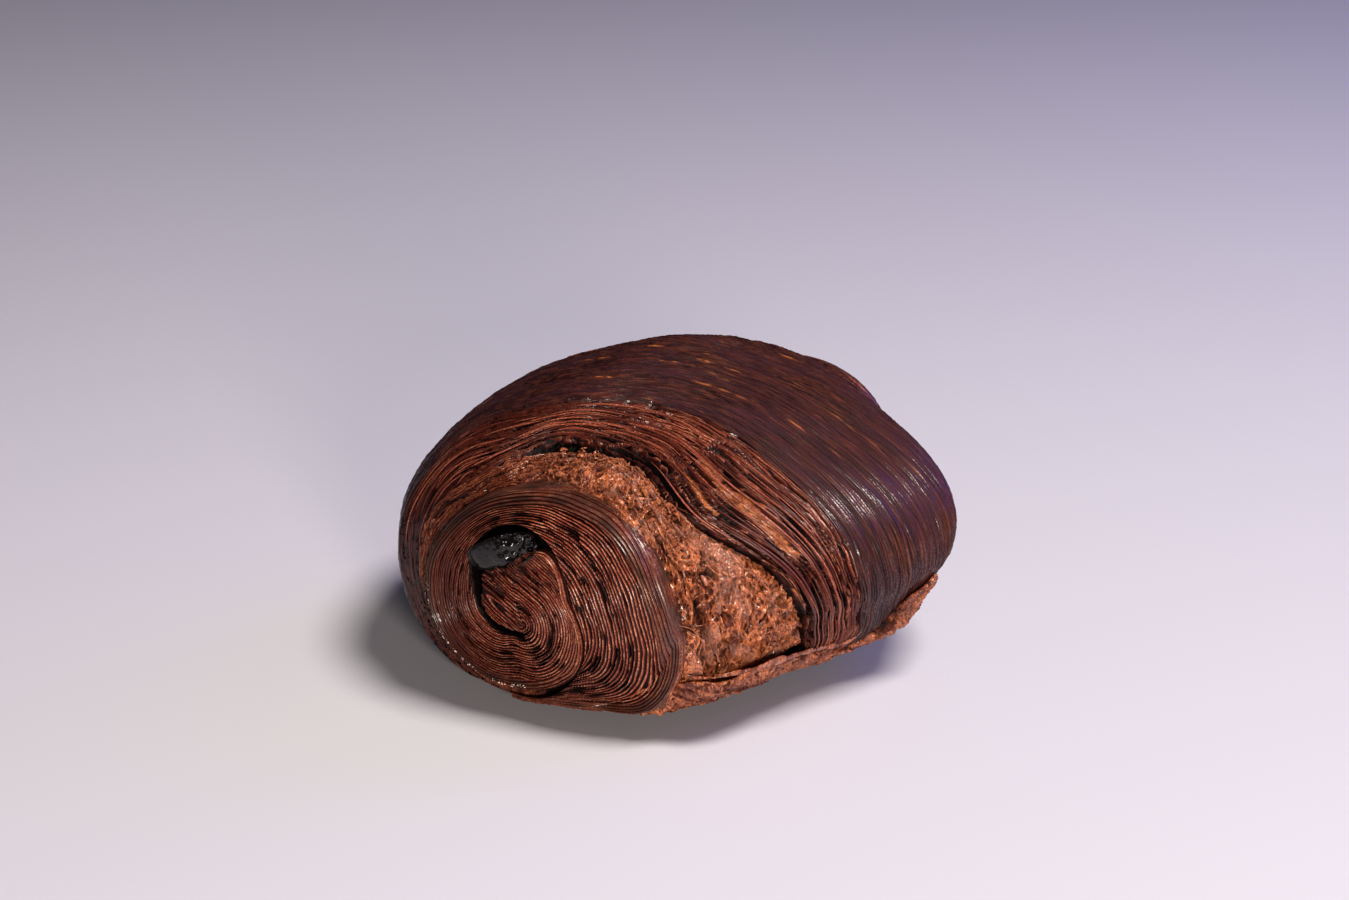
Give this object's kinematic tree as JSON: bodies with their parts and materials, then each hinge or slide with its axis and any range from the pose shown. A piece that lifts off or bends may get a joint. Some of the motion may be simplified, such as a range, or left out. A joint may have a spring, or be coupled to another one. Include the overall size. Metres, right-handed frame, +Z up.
{
  "type": "pain au chocolat",
  "caption": "Rolled laminated pastry with a dark crust, spiral ends with open layers, and a chocolate baton running through its core.",
  "frame": {"origin": "middle of the base, on the surface that it rests on", "axes": "+Y along the roll's axis, away from the end that shows best; +X to the fuller flank; +Z up"},
  "size_m": [0.0902, 0.0966, 0.0465],
  "materials": {
    "crust": "dark baked laminated dough, satin",
    "chocolate": "baked dark chocolate, satin"
  },
  "bodies": {
    "root": {"pastry": "crust", "chocolate_baton": "chocolate"}
  },
  "joints": []
}
